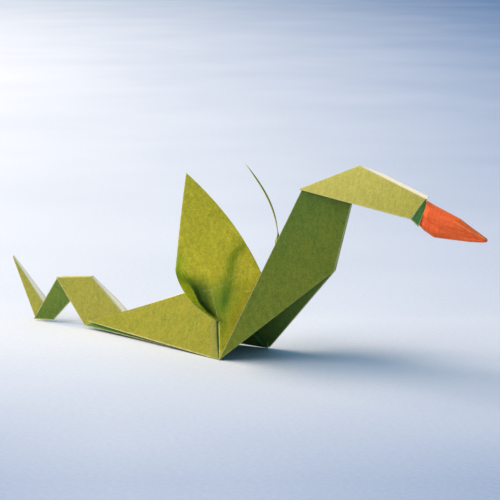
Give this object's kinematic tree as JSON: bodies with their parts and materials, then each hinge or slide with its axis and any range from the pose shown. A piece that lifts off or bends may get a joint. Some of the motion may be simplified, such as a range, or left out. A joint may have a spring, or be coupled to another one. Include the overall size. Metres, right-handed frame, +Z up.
{
  "type": "origami sea monster",
  "caption": "Folded paper sea monster with a long neck, an upturned tail and raised wings, green outside with an orange beak.",
  "frame": {"origin": "on the table under the middle of the figure's length, on its plane of symmetry", "axes": "+X along the body towards the beak, +Y across the body to its far side, +Z up"},
  "size_m": [0.172, 0.0438, 0.0561],
  "materials": {
    "paper_sheet": "matt"
  },
  "bodies": {
    "root": {"folded_sheet": "paper_sheet"}
  },
  "joints": []
}
